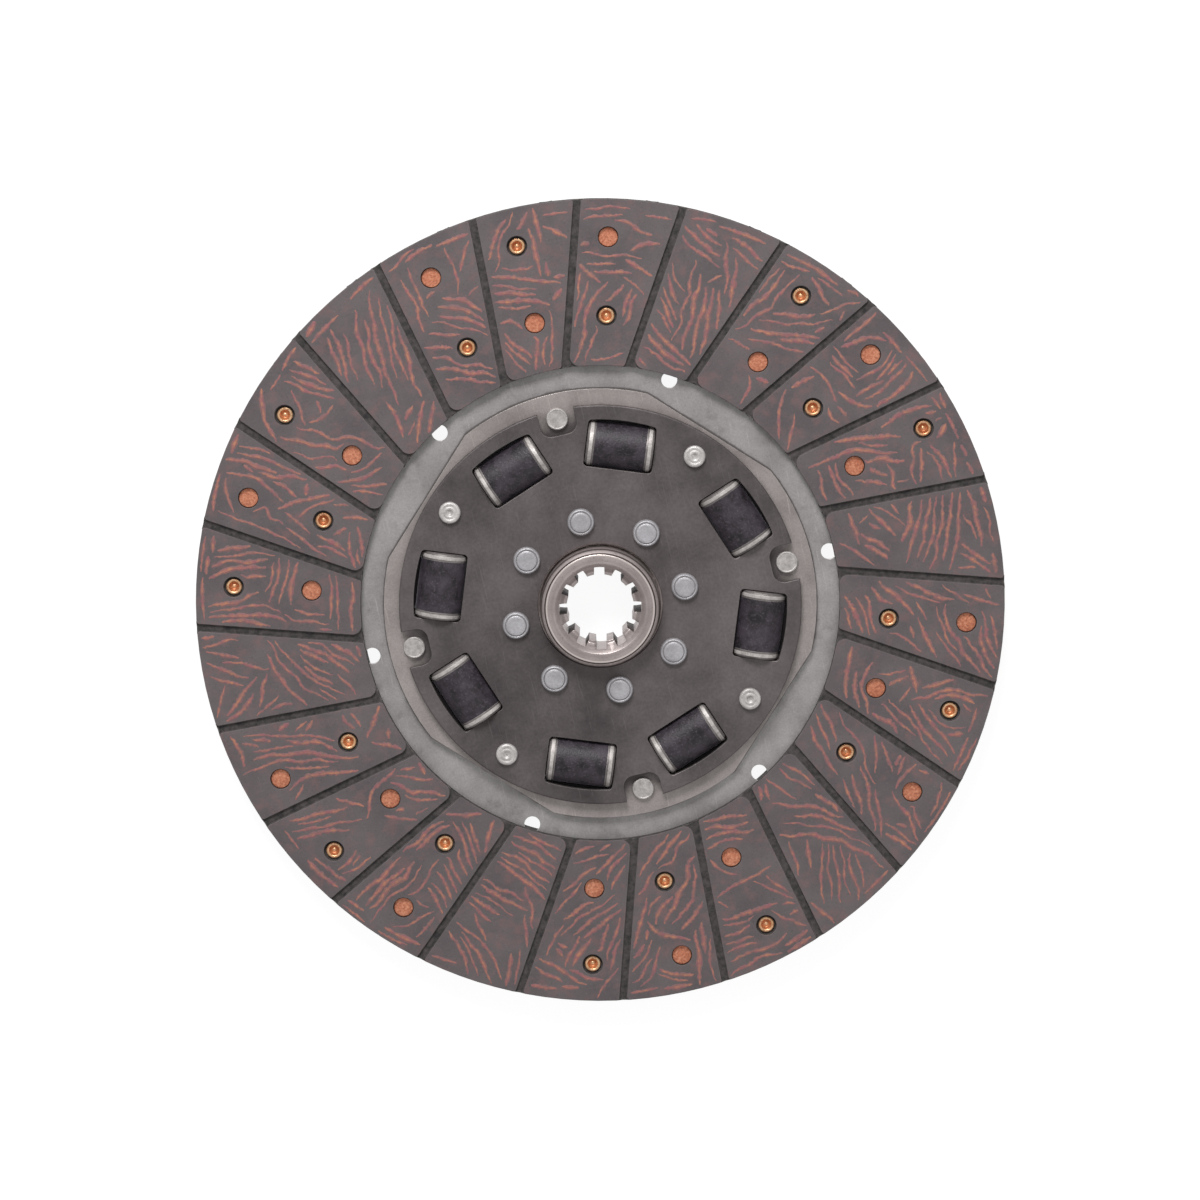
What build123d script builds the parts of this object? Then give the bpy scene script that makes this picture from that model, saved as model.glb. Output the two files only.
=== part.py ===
from build123d import *
from math import asin, atan2, cos, degrees, hypot, radians, sin, sqrt
import os

# Clutch disc with rubber torsion dampers.
# The disc lies flat: +Z is the hub axis and points to the front, which carries the long hub neck.
# The origin is on that axis, halfway between the two friction facings.
# The X axis runs through one of the drive rivets. All sizes are in millimetres and degrees.

# How far the dampers let the hub turn against the facings, each way
twist_angle = 2.0

# Clearances
stop_gap = 0.35
running_gap = 0.05
loose_gap = 0.3
shank_gap = 0.1

# Hub with its internal splines
spline_count = 12
spline_phase = 18.8
spline_minor_radius = 13.5
spline_depth = 3.1
spline_gap_width = 4.2
lead_in_margin = 1.6
lead_in_depth = 3.6
hub_wall = 7.2
hub_edge_chamfer = 2.1
hub_rear_chamfer = 0.8
hub_root_fillet = 0.8
hub_front_rise = 9.7
hub_rear_drop = 6.7
neck_gap = 1.2

# Rivets that hold the side plates to the hub flange
hub_rivet_count = 8
hub_rivet_inset = 10.9
hub_rivet_shank_radius = 3.5
hub_rivet_head_radius = 5.4
hub_rivet_crown_radius = 4.1
hub_rivet_head_height = 2.6
flange_edge = 7.3

# Rubber dampers with steel caps, in pairs on both sides of each drive rivet
damper_pair_count = 4
damper_half_spread = 20.0
damper_length = 26.8
cap_radius = 9.4
cap_thickness = 3.1
cap_rim = 1.9
cap_edge = 0.6
rubber_inset = 0.2
rubber_bulge = 0.2
window_corner_radius = 1.5
damper_land = 12.65

# Side plates
plate_thickness = 3.0
plate_edge_chamfer = 0.4
rim_wall = 5.92
notch_corner_radius = 4.5
notch_root_gap = 2.0
front_washer_thickness = 0.5

# Shouldered pins that tie the side plates together and limit the twist
stop_pin_inset = 9.8
stop_pin_shoulder_radius = 4.0
stop_pin_shank_radius = 3.0
stop_pin_head_radius = 4.35
stop_pin_head_height = 2.0
stop_pin_edge = 0.5
punch_radius = 1.1
punch_depth = 0.7

# Drive plate between the side plates
drive_thickness = 3.0
drive_band_width = 6.2
drive_flat_width = 1.2
drive_window_gap = 0.05

# Rivets that hold the carrier to the drive plate
drive_rivet_inset = 4.0
drive_rivet_head_radius = 4.4
drive_rivet_shank_radius = 2.75
drive_rivet_head_height = 1.9
drive_rivet_edge = 0.35

# Carrier plate with its wings
carrier_thickness = 1.0
carrier_ledge = 9.3
carrier_inner_wall = 0.7
ear_width = 15.0
ear_tip_wall = 1.0
ear_corner_radius = 4.0
wing_count = 6
wing_slot_width = 4.0
wing_inset = 1.5
relief_radius = 3.2
relief_inset = 2.0

# Friction facings
facing_width = 66.2
facing_thickness = 4.0
groove_count = 24
groove_width = 3.0
groove_depth = 1.2
groove_offset = 20.8
groove_phase = -2.1
pad_corner_radius = 3.8
pad_edge_radius = 1.2

# Hollow rivets that hold both facings to the wings
rivet_side_angle = 14.2
outer_row_margin = 15.1
inner_row_margin = 19.8
counterbore_radius = 4.1
web_thickness = 1.6
rivet_head_radius = 3.95
rivet_head_height = 0.8
rivet_shank_radius = 2.5
rivet_bore_radius = 1.3
rivet_bore_depth = 3.0
clinch_radius = 3.3
clinch_height = 0.9

# Heights along the hub axis, from the middle of the carrier outwards
carrier_face = carrier_thickness / 2
facing_face = carrier_face + facing_thickness
drive_front = carrier_face + drive_thickness
front_plate_back = drive_front + loose_gap + front_washer_thickness
front_plate_face = front_plate_back + plate_thickness
rear_washer_thickness = front_washer_thickness + carrier_thickness
rear_plate_back = carrier_face - loose_gap - rear_washer_thickness
rear_plate_face = rear_plate_back - plate_thickness
damper_height = (front_plate_face + rear_plate_face) / 2
hub_front = front_plate_face + hub_front_rise
hub_rear = rear_plate_face - hub_rear_drop

# Radii, from the spline outwards
spline_major_radius = spline_minor_radius + spline_depth
lead_in_radius = spline_major_radius + lead_in_margin
hub_radius = spline_major_radius + hub_wall
hub_rivet_circle = hub_radius + hub_rivet_inset
flange_radius = hub_rivet_circle + flange_edge
drive_bore_radius = flange_radius + running_gap
damper_circle = drive_bore_radius + damper_land + loose_gap + cap_radius
rubber_end_radius = cap_radius - rubber_inset
cap_half_at_plate = sqrt(cap_radius**2 - (front_plate_back - damper_height) ** 2)
window_outer_radius = hypot(damper_circle + cap_half_at_plate + loose_gap, damper_length / 2)
side_plate_radius = window_outer_radius + rim_wall
stop_pin_circle = side_plate_radius - stop_pin_inset
drive_rivet_circle = side_plate_radius - drive_rivet_inset
notch_tip_radius = drive_rivet_circle - drive_rivet_head_radius - notch_root_gap
drive_plate_radius = side_plate_radius + drive_band_width
drive_flat_distance = side_plate_radius + drive_flat_width
facing_inner_radius = drive_plate_radius + carrier_ledge
facing_outer_radius = facing_inner_radius + facing_width
carrier_inner_radius = hypot(damper_circle + cap_radius + loose_gap, damper_length / 2) + carrier_inner_wall
carrier_outer_radius = facing_outer_radius - wing_inset
relief_circle = facing_inner_radius - relief_inset
outer_row_radius = facing_outer_radius - outer_row_margin
inner_row_radius = facing_inner_radius + inner_row_margin

# Angles about the hub axis
quarter_angles = [360 / damper_pair_count * i for i in range(damper_pair_count)]
stop_pin_angles = [angle + 180 / damper_pair_count for angle in quarter_angles]
damper_angles = [angle + side * damper_half_spread for angle in quarter_angles for side in (-1, 1)]
wing_angles = [360 / wing_count * (i + 0.5) for i in range(wing_count)]
groove_pitch = 360 / groove_count
groove_mouth_angle = groove_phase + degrees(asin(groove_offset / facing_inner_radius))

os.makedirs("parts", exist_ok=True)


def polar_point(radius, angle):
    """Point on a circle about the hub axis."""
    return (radius * cos(radians(angle)), radius * sin(radians(angle)))


def save(piece, name):
    """Label a finished piece and write its STEP file."""
    piece.part.label = name
    export_step(piece.part, f"parts/{name}.step")


def damper_plane(angle):
    """Upright plane through one damper: x runs along the damper, y is up."""
    centre = polar_point(damper_circle, angle)
    return Plane(
        origin=(centre[0], centre[1], damper_height),
        x_dir=(-sin(radians(angle)), cos(radians(angle)), 0),
        z_dir=(cos(radians(angle)), sin(radians(angle)), 0),
    )


# Where each facing rivet stands. The head faces the front on every other one, row against row.
front_head_points = []
rear_head_points = []
for wing, wing_angle in enumerate(wing_angles):
    for step in (-1, 0, 1):
        angle = wing_angle + step * rivet_side_angle
        outer_is_front = (wing + step) % 2 == 0
        outer_point = polar_point(outer_row_radius, angle)
        inner_point = polar_point(inner_row_radius, angle)
        front_head_points.append(outer_point if outer_is_front else inner_point)
        rear_head_points.append(inner_point if outer_is_front else outer_point)
facing_rivet_points = front_head_points + rear_head_points
hub_rivet_points = [polar_point(hub_rivet_circle, 360 / hub_rivet_count * i) for i in range(hub_rivet_count)]
stop_pin_points = [polar_point(stop_pin_circle, angle) for angle in stop_pin_angles]
drive_rivet_points = [polar_point(drive_rivet_circle, angle) for angle in quarter_angles]


# Hub: a turned body with a flange between the side plates, and splines broached through it
with BuildPart() as hub:
    with BuildSketch(Plane.XY.offset(hub_rear)):
        Circle(hub_radius)
    extrude(amount=hub_front - hub_rear)
    chamfer(hub.edges().group_by(Axis.Z)[-1], hub_edge_chamfer)
    chamfer(hub.edges().group_by(Axis.Z)[0], hub_rear_chamfer)
    with BuildSketch(Plane.XY.offset(rear_plate_back)):
        Circle(flange_radius)
    extrude(amount=front_plate_back - rear_plate_back)
    neck_roots = [
        edge
        for edge in hub.edges().filter_by(GeomType.CIRCLE)
        if rear_plate_back <= round(edge.center().Z, 3) <= front_plate_back and edge.radius < flange_radius
    ]
    fillet(neck_roots, hub_root_fillet)
    with BuildSketch(Plane.XY.offset(hub_rear)):
        Circle(spline_minor_radius)
        with PolarLocations(spline_major_radius / 2, spline_count, start_angle=spline_phase):
            Rectangle(spline_major_radius, spline_gap_width)
        Circle(spline_major_radius, mode=Mode.INTERSECT)
    extrude(amount=hub_front - hub_rear, mode=Mode.SUBTRACT)
    for end, inward in ((hub_front, -1), (hub_rear, 1)):
        with BuildSketch(Plane.XZ):
            with BuildLine():
                Polyline(
                    (0, end),
                    (lead_in_radius, end),
                    (lead_in_radius - lead_in_depth, end + inward * lead_in_depth),
                    (0, end + inward * lead_in_depth),
                    close=True,
                )
            make_face()
        revolve(axis=Axis.Z, mode=Mode.SUBTRACT)
    with BuildSketch(Plane.XY.offset(rear_plate_back)):
        with Locations(*hub_rivet_points):
            Circle(hub_rivet_shank_radius + shank_gap)
    extrude(amount=front_plate_back - rear_plate_back, mode=Mode.SUBTRACT)
save(hub, "hub")


def make_side_plate(bottom):
    """Flat stamping with a window for each damper and a notch round each drive rivet."""
    notch_half_width = (
        drive_rivet_head_radius + drive_rivet_circle * sin(radians(twist_angle)) + stop_gap
    )
    notch_length = side_plate_radius + notch_corner_radius - notch_tip_radius
    window_inner_distance = damper_circle - cap_half_at_plate - loose_gap
    window_half_length = damper_length / 2 + loose_gap
    window_side_distance = sqrt(window_outer_radius**2 - window_half_length**2)
    with BuildPart() as plate:
        with BuildSketch(Plane.XY.offset(bottom)) as outline:
            Circle(side_plate_radius)
            Circle(hub_radius + neck_gap, mode=Mode.SUBTRACT)
            with PolarLocations(notch_tip_radius + notch_length / 2, damper_pair_count):
                RectangleRounded(notch_length, 2 * notch_half_width, notch_corner_radius, mode=Mode.SUBTRACT)
        extrude(amount=plate_thickness)
        rim_edges = plate.edges().filter_by(GeomType.CIRCLE).filter_by(
            lambda edge: abs(edge.radius - side_plate_radius) < shank_gap
        )
        chamfer(rim_edges, plate_edge_chamfer)
        with BuildSketch(Plane.XY.offset(bottom)):
            for angle in damper_angles:
                with BuildSketch(Plane.XY, mode=Mode.PRIVATE) as window:
                    with BuildLine():
                        Polyline(
                            (window_side_distance, -window_half_length),
                            (window_inner_distance, -window_half_length),
                            (window_inner_distance, window_half_length),
                            (window_side_distance, window_half_length),
                        )
                        ThreePointArc(
                            (window_side_distance, window_half_length),
                            (window_outer_radius, 0),
                            (window_side_distance, -window_half_length),
                        )
                    make_face()
                    fillet(window.vertices(), window_corner_radius)
                add(window.sketch.rotate(Axis.Z, angle))
            with Locations(*hub_rivet_points):
                Circle(hub_rivet_shank_radius + shank_gap)
            with Locations(*stop_pin_points):
                Circle(stop_pin_shank_radius + shank_gap)
        extrude(amount=plate_thickness, mode=Mode.SUBTRACT)
    return plate


front_side_plate = make_side_plate(front_plate_back)
save(front_side_plate, "front_side_plate")
rear_side_plate = make_side_plate(rear_plate_face)
save(rear_side_plate, "rear_side_plate")


def make_headed_pins(points, profile):
    """Turn one profile of radius and height pairs about a vertical axis through each point."""
    with BuildPart() as pins:
        for point in points:
            plane = Plane(origin=(point[0], point[1], 0), x_dir=(1, 0, 0), z_dir=(0, -1, 0))
            with BuildSketch(plane):
                with BuildLine():
                    Polyline(*profile, close=True)
                make_face()
            revolve(axis=Axis((point[0], point[1], 0), (0, 0, 1)))
    return pins


# Hub rivets: tapered heads with a flat crown on both side plates
hub_rivets = make_headed_pins(
    hub_rivet_points,
    [
        (0, rear_plate_face - hub_rivet_head_height),
        (hub_rivet_crown_radius, rear_plate_face - hub_rivet_head_height),
        (hub_rivet_head_radius, rear_plate_face - hub_rivet_head_height / 2),
        (hub_rivet_head_radius, rear_plate_face),
        (hub_rivet_shank_radius, rear_plate_face),
        (hub_rivet_shank_radius, front_plate_face),
        (hub_rivet_head_radius, front_plate_face),
        (hub_rivet_head_radius, front_plate_face + hub_rivet_head_height / 2),
        (hub_rivet_crown_radius, front_plate_face + hub_rivet_head_height),
        (0, front_plate_face + hub_rivet_head_height),
    ],
)
save(hub_rivets, "hub_rivets")

# Stop pins: a thick shoulder between the side plates, riveted heads outside, a punch mark in the front one
stop_pins = make_headed_pins(
    stop_pin_points,
    [
        (0, rear_plate_face - stop_pin_head_height),
        (stop_pin_head_radius - stop_pin_edge, rear_plate_face - stop_pin_head_height),
        (stop_pin_head_radius, rear_plate_face - stop_pin_head_height + stop_pin_edge),
        (stop_pin_head_radius, rear_plate_face),
        (stop_pin_shank_radius, rear_plate_face),
        (stop_pin_shank_radius, rear_plate_back),
        (stop_pin_shoulder_radius, rear_plate_back),
        (stop_pin_shoulder_radius, front_plate_back),
        (stop_pin_shank_radius, front_plate_back),
        (stop_pin_shank_radius, front_plate_face),
        (stop_pin_head_radius, front_plate_face),
        (stop_pin_head_radius, front_plate_face + stop_pin_head_height - stop_pin_edge),
        (stop_pin_head_radius - stop_pin_edge, front_plate_face + stop_pin_head_height),
        (punch_radius, front_plate_face + stop_pin_head_height),
        (0, front_plate_face + stop_pin_head_height - punch_depth),
    ],
)
save(stop_pins, "stop_pins")


def make_washer(bottom, thickness):
    """Flat friction washer that lies round the hub flange."""
    with BuildPart() as washer:
        with BuildSketch(Plane.XY.offset(bottom)):
            Circle(damper_circle - cap_radius - 2 * loose_gap)
            Circle(flange_radius + loose_gap, mode=Mode.SUBTRACT)
        extrude(amount=thickness)
    return washer


front_friction_washer = make_washer(front_plate_back - front_washer_thickness, front_washer_thickness)
save(front_friction_washer, "front_friction_washer")
rear_friction_washer = make_washer(rear_plate_back, rear_washer_thickness)
save(rear_friction_washer, "rear_friction_washer")

# Drive plate: turns on the hub flange, drives the dampers and carries the wings.
# Its outline is a circle with four flats, left by the strip that it is stamped from.
with BuildPart() as drive_plate:
    drive_window_width = 2 * (cap_radius + drive_window_gap)
    drive_window_length = damper_length + 2 * drive_window_gap
    stop_travel = stop_pin_circle * sin(radians(twist_angle)) + stop_gap
    with BuildSketch(Plane.XY.offset(carrier_face)):
        Circle(drive_plate_radius)
        Rectangle(
            2 * drive_flat_distance,
            2 * drive_flat_distance,
            rotation=180 / damper_pair_count,
            mode=Mode.INTERSECT,
        )
        Circle(drive_bore_radius, mode=Mode.SUBTRACT)
        for angle in damper_angles:
            with Locations(Location((*polar_point(damper_circle, angle), 0), (0, 0, angle))):
                RectangleRounded(
                    drive_window_width, drive_window_length, window_corner_radius / 2, mode=Mode.SUBTRACT
                )
        for angle in stop_pin_angles:
            with Locations(Location((*polar_point(stop_pin_circle, angle), 0), (0, 0, angle + 90))):
                SlotCenterToCenter(
                    2 * stop_travel, 2 * (stop_pin_shoulder_radius + stop_gap), mode=Mode.SUBTRACT
                )
        with Locations(*drive_rivet_points):
            Circle(drive_rivet_shank_radius + shank_gap, mode=Mode.SUBTRACT)
    extrude(amount=drive_thickness)
save(drive_plate, "drive_plate")

# Carrier: thin spring steel, parted into wings by slots that start at round relief holes.
# Four ears reach inwards to the drive rivets.
with BuildPart() as carrier_plate:
    ear_tip_radius = drive_rivet_circle - drive_rivet_head_radius - ear_tip_wall
    ear_length = carrier_inner_radius + 2 * ear_corner_radius - ear_tip_radius
    slot_length = carrier_outer_radius - relief_circle + wing_slot_width
    with BuildSketch(Plane.XY.offset(-carrier_face)):
        Circle(carrier_outer_radius)
        Circle(carrier_inner_radius, mode=Mode.SUBTRACT)
        with PolarLocations(ear_tip_radius + ear_length / 2, damper_pair_count):
            RectangleRounded(ear_length, ear_width, ear_corner_radius)
        with PolarLocations(relief_circle, wing_count):
            Circle(relief_radius, mode=Mode.SUBTRACT)
        with PolarLocations(relief_circle + slot_length / 2, wing_count):
            Rectangle(slot_length, wing_slot_width, mode=Mode.SUBTRACT)
        with Locations(*drive_rivet_points):
            Circle(drive_rivet_shank_radius + shank_gap, mode=Mode.SUBTRACT)
        with Locations(*facing_rivet_points):
            Circle(rivet_shank_radius + shank_gap, mode=Mode.SUBTRACT)
    extrude(amount=carrier_thickness)
save(carrier_plate, "carrier_plate")

# Drive rivets: flat heads on the drive plate in front and on the carrier's ears behind
drive_rivets = make_headed_pins(
    drive_rivet_points,
    [
        (0, -carrier_face - drive_rivet_head_height),
        (drive_rivet_head_radius - drive_rivet_edge, -carrier_face - drive_rivet_head_height),
        (drive_rivet_head_radius, -carrier_face - drive_rivet_head_height + drive_rivet_edge),
        (drive_rivet_head_radius, -carrier_face),
        (drive_rivet_shank_radius, -carrier_face),
        (drive_rivet_shank_radius, drive_front),
        (drive_rivet_head_radius, drive_front),
        (drive_rivet_head_radius, drive_front + drive_rivet_head_height - drive_rivet_edge),
        (drive_rivet_head_radius - drive_rivet_edge, drive_front + drive_rivet_head_height),
        (0, drive_front + drive_rivet_head_height),
    ],
)
save(drive_rivets, "drive_rivets")


def is_acute_corner(corner):
    """Whether a corner of a pad is the sharply angled one at the bore, clockwise of its groove."""
    turn_past_groove = (degrees(atan2(corner.Y, corner.X)) - groove_mouth_angle) % groove_pitch
    at_bore = hypot(corner.X, corner.Y) < (facing_inner_radius + facing_outer_radius) / 2
    return at_bore and turn_past_groove > groove_pitch / 2


# Front facing: a moulded ring whose face is parted into pads by straight grooves.
# The grooves all run past the hub axis at the same distance, so they slant to the radius.
# The acute corner of each pad is rounded off, so that it doesn't chip.
with BuildPart() as front_facing:
    with BuildSketch(Plane.XY.offset(carrier_face)):
        Circle(facing_outer_radius)
        Circle(facing_inner_radius, mode=Mode.SUBTRACT)
    extrude(amount=facing_thickness - groove_depth)
    with BuildSketch(Plane.XY.offset(facing_face - groove_depth)) as pads:
        Circle(facing_outer_radius)
        Circle(facing_inner_radius, mode=Mode.SUBTRACT)
        with PolarLocations(0, groove_count, start_angle=groove_phase):
            with Locations(((facing_inner_radius + facing_outer_radius) / 2, groove_offset)):
                Rectangle(facing_outer_radius, groove_width, mode=Mode.SUBTRACT)
        fillet(pads.vertices().filter_by(is_acute_corner), pad_corner_radius)
        fillet([corner for corner in pads.vertices() if not is_acute_corner(corner)], pad_edge_radius)
    extrude(amount=groove_depth)
    with BuildSketch(Plane.XY.offset(carrier_face + web_thickness)):
        with Locations(*facing_rivet_points):
            Circle(counterbore_radius)
    extrude(amount=facing_thickness - web_thickness, mode=Mode.SUBTRACT)
    with BuildSketch(Plane.XY.offset(carrier_face)):
        with Locations(*facing_rivet_points):
            Circle(rivet_shank_radius + shank_gap)
    extrude(amount=web_thickness, mode=Mode.SUBTRACT)
save(front_facing, "front_facing")

# Rear facing: the same part, turned over
with BuildPart() as rear_facing:
    add(front_facing.part.rotate(Axis.X, 180))
save(rear_facing, "rear_facing")


def make_facing_rivets(points, front):
    """Hollow rivets through both facings: a flat head on one side, a clinched end on the other."""
    seat = carrier_face + web_thickness
    profile = [
        (0, seat + rivet_head_height),
        (rivet_head_radius, seat + rivet_head_height),
        (rivet_head_radius, seat),
        (rivet_shank_radius, seat),
        (rivet_shank_radius, -seat),
        (clinch_radius, -seat),
        ((clinch_radius + rivet_bore_radius) / 2, -seat - clinch_height),
        (rivet_bore_radius, -seat - clinch_height / 2),
        (rivet_bore_radius, -seat - clinch_height / 2 + rivet_bore_depth),
        (0, -seat - clinch_height / 2 + rivet_bore_depth),
    ]
    if not front:
        profile = [(radius, -height) for radius, height in profile]
    return make_headed_pins(points, profile)


facing_rivets_front = make_facing_rivets(front_head_points, True)
save(facing_rivets_front, "facing_rivets_front")
facing_rivets_rear = make_facing_rivets(rear_head_points, False)
save(facing_rivets_rear, "facing_rivets_rear")


def make_rubber(plane):
    """Rubber barrel of a damper, a little fuller in the middle."""
    half_length = damper_length / 2 - cap_thickness
    with BuildPart() as rubber:
        with BuildSketch(plane):
            with BuildLine():
                Polyline(
                    (-half_length, rubber_end_radius),
                    (-half_length, 0),
                    (half_length, 0),
                    (half_length, rubber_end_radius),
                )
                ThreePointArc(
                    (half_length, rubber_end_radius),
                    (0, rubber_end_radius + rubber_bulge),
                    (-half_length, rubber_end_radius),
                )
            make_face()
        revolve(axis=Axis(plane.origin, plane.x_dir))
    return rubber


def make_cap(plane, side):
    """Round steel cap bonded to one end of a damper, its edge tapered towards the rubber."""
    outer_end = side * damper_length / 2
    inner_end = side * (damper_length / 2 - cap_thickness)
    with BuildPart() as cap:
        with BuildSketch(plane):
            with BuildLine():
                Polyline(
                    (outer_end, 0),
                    (outer_end, cap_radius - cap_edge),
                    (outer_end - side * cap_edge, cap_radius),
                    (outer_end - side * cap_rim, cap_radius),
                    (inner_end, rubber_end_radius),
                    (inner_end, 0),
                    close=True,
                )
            make_face()
        revolve(axis=Axis(plane.origin, plane.x_dir))
    return cap


for number, angle in enumerate(damper_angles, start=1):
    plane = damper_plane(angle)
    save(make_rubber(plane), f"damper_{number}_rubber")
    save(make_cap(plane, -1), f"damper_{number}_cap_a")
    save(make_cap(plane, 1), f"damper_{number}_cap_b")
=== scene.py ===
from math import cos, pi, radians, sin, tau

import bmesh
import bpy
import numpy as np
from mathutils import Matrix, Vector


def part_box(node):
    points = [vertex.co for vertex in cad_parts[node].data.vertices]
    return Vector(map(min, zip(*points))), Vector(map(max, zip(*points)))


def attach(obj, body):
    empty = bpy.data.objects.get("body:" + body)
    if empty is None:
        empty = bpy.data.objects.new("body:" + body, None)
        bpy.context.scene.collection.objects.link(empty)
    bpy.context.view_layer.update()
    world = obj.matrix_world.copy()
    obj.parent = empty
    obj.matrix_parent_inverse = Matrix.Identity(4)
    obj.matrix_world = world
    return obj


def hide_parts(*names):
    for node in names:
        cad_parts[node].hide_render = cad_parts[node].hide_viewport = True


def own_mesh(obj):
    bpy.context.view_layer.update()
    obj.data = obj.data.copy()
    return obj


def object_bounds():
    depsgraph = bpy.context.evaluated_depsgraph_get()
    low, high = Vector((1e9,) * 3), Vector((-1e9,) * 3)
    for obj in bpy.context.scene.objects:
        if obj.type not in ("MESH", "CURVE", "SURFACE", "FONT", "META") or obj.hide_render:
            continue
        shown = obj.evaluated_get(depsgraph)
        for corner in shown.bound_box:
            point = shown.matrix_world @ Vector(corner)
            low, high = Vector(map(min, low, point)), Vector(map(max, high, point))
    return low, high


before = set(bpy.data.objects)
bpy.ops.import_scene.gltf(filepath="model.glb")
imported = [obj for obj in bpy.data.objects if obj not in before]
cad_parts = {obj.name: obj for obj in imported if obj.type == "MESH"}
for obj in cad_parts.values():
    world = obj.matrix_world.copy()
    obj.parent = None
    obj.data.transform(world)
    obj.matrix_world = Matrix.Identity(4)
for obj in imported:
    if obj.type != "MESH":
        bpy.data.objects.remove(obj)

MM = 0.001
cad_box = [list(corner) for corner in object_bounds()]


# Hub: a steel forging, turned all over, with twelve splines broached through it.
# Its flange sits between the side plates and is riveted to them. Turning leaves fine rings.

def tone(red, green, blue):
    """Linear colour of a shade that is read as 0 to 255 in a picture."""
    shades = (value / 255 for value in (red, green, blue))
    return tuple(s / 12.92 if s < 0.04045 else ((s + 0.055) / 1.055) ** 2.4 for s in shades) + (1.0,)


def add_node(tree, kind, sockets=None, **settings):
    """Add a shader node. Each socket gets a plain value, or a link from another node's output."""
    made = tree.nodes.new("ShaderNode" + kind)
    for setting, value in settings.items():
        setattr(made, setting, value)
    for socket, value in (sockets or {}).items():
        if isinstance(value, bpy.types.NodeSocket):
            tree.links.new(value, made.inputs[socket])
        else:
            made.inputs[socket].default_value = value
    return made


def object_place(tree):
    """Place of a shaded point in the disc's own frame."""
    return add_node(tree, "TexCoord").outputs["Object"]


def noise(tree, place, scale, detail, roughness=0.5):
    """Soft random pattern between 0 and 1."""
    sockets = {"Vector": place, "Scale": scale, "Detail": detail, "Roughness": roughness}
    return add_node(tree, "TexNoise", sockets).outputs["Fac"]


def blend_tones(tree, amount, first, second, mode="MIX"):
    """Mix two colours by a mask. The mixer's colours are its sockets 6 and 7 and its output 2."""
    mixer = add_node(tree, "Mix", {0: amount, 6: first, 7: second}, data_type="RGBA", blend_type=mode)
    return mixer.outputs[2]


def steps_between(tree, value, low, high, out_low=0.0, out_high=1.0):
    """Stretch the part of a value between two levels to a new range, and hold it there."""
    sockets = {"Value": value, "From Min": low, "From Max": high, "To Min": out_low, "To Max": out_high}
    return add_node(tree, "MapRange", sockets).outputs["Result"]


def arithmetic(tree, operation, *values):
    """Result of one arithmetic step on one or two values."""
    return add_node(tree, "Math", dict(enumerate(values)), operation=operation).outputs[0]


def axis_distance(tree, place):
    """Distance of a point from the disc's axis."""
    flat = add_node(tree, "VectorMath", {0: place, 1: (1.0, 1.0, 0.0)}, operation="MULTIPLY")
    return add_node(tree, "VectorMath", {0: flat.outputs[0]}, operation="LENGTH").outputs["Value"]


def new_group(name, inputs, outputs):
    """Start a shader node group with named sockets."""
    tree = bpy.data.node_groups.new(name, "ShaderNodeTree")
    for label, kind, value in inputs:
        socket = tree.interface.new_socket(label, in_out="INPUT", socket_type="NodeSocket" + kind)
        if value is not None:
            socket.default_value = value
    for label in outputs:
        tree.interface.new_socket(label, in_out="OUTPUT", socket_type="NodeSocketFloat")
    return tree, tree.nodes.new("NodeGroupInput").outputs, tree.nodes.new("NodeGroupOutput").inputs


def build_metal_grain():
    """Group for bare metal: soft stains, fine grain and thin handling scratches, as masks from 0 to 1."""
    tree, given, made = new_group(
        "metal_grain",
        [("Vector", "Vector", None), ("Stain Scale", "Float", 40.0), ("Grain Scale", "Float", 1500.0)],
        ["Stain", "Grain", "Scratch"],
    )
    stain = noise(tree, given["Vector"], given["Stain Scale"], 6.0, 0.62)
    grain = noise(tree, given["Vector"], given["Grain Scale"], 3.0, 0.7)
    scratches = []
    for turn, stretch in ((0.5, 22.0), (-0.9, 30.0)):
        drawn_out = {"Vector": given["Vector"], "Rotation": (0.0, 0.0, turn), "Scale": (stretch, 1.0, 1.0)}
        lines = noise(tree, add_node(tree, "Mapping", drawn_out).outputs[0], 60.0, 2.0)
        scratches.append(steps_between(tree, lines, 0.66, 0.74))
    tree.links.new(steps_between(tree, stain, 0.3, 0.7), made["Stain"])
    tree.links.new(grain, made["Grain"])
    tree.links.new(arithmetic(tree, "MAXIMUM", *scratches), made["Scratch"])
    return tree


def build_turned_rings():
    """Group for lathe marks: rings about the disc's axis, as a height and a slower tone."""
    tree, given, made = new_group(
        "turned_rings", [("Vector", "Vector", None), ("Ring Scale", "Float", 2200.0)], ["Height", "Tone"]
    )
    radius = axis_distance(tree, given["Vector"])
    fine = arithmetic(tree, "MULTIPLY", radius, given["Ring Scale"])
    rings = add_node(tree, "TexNoise", {"W": fine, "Scale": 1.0, "Detail": 2.0}, noise_dimensions="1D")
    slow = add_node(tree, "TexNoise", {"W": radius, "Scale": 500.0, "Detail": 1.0}, noise_dimensions="1D")
    tree.links.new(rings.outputs["Fac"], made["Height"])
    tree.links.new(slow.outputs["Fac"], made["Tone"])
    return tree


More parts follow.
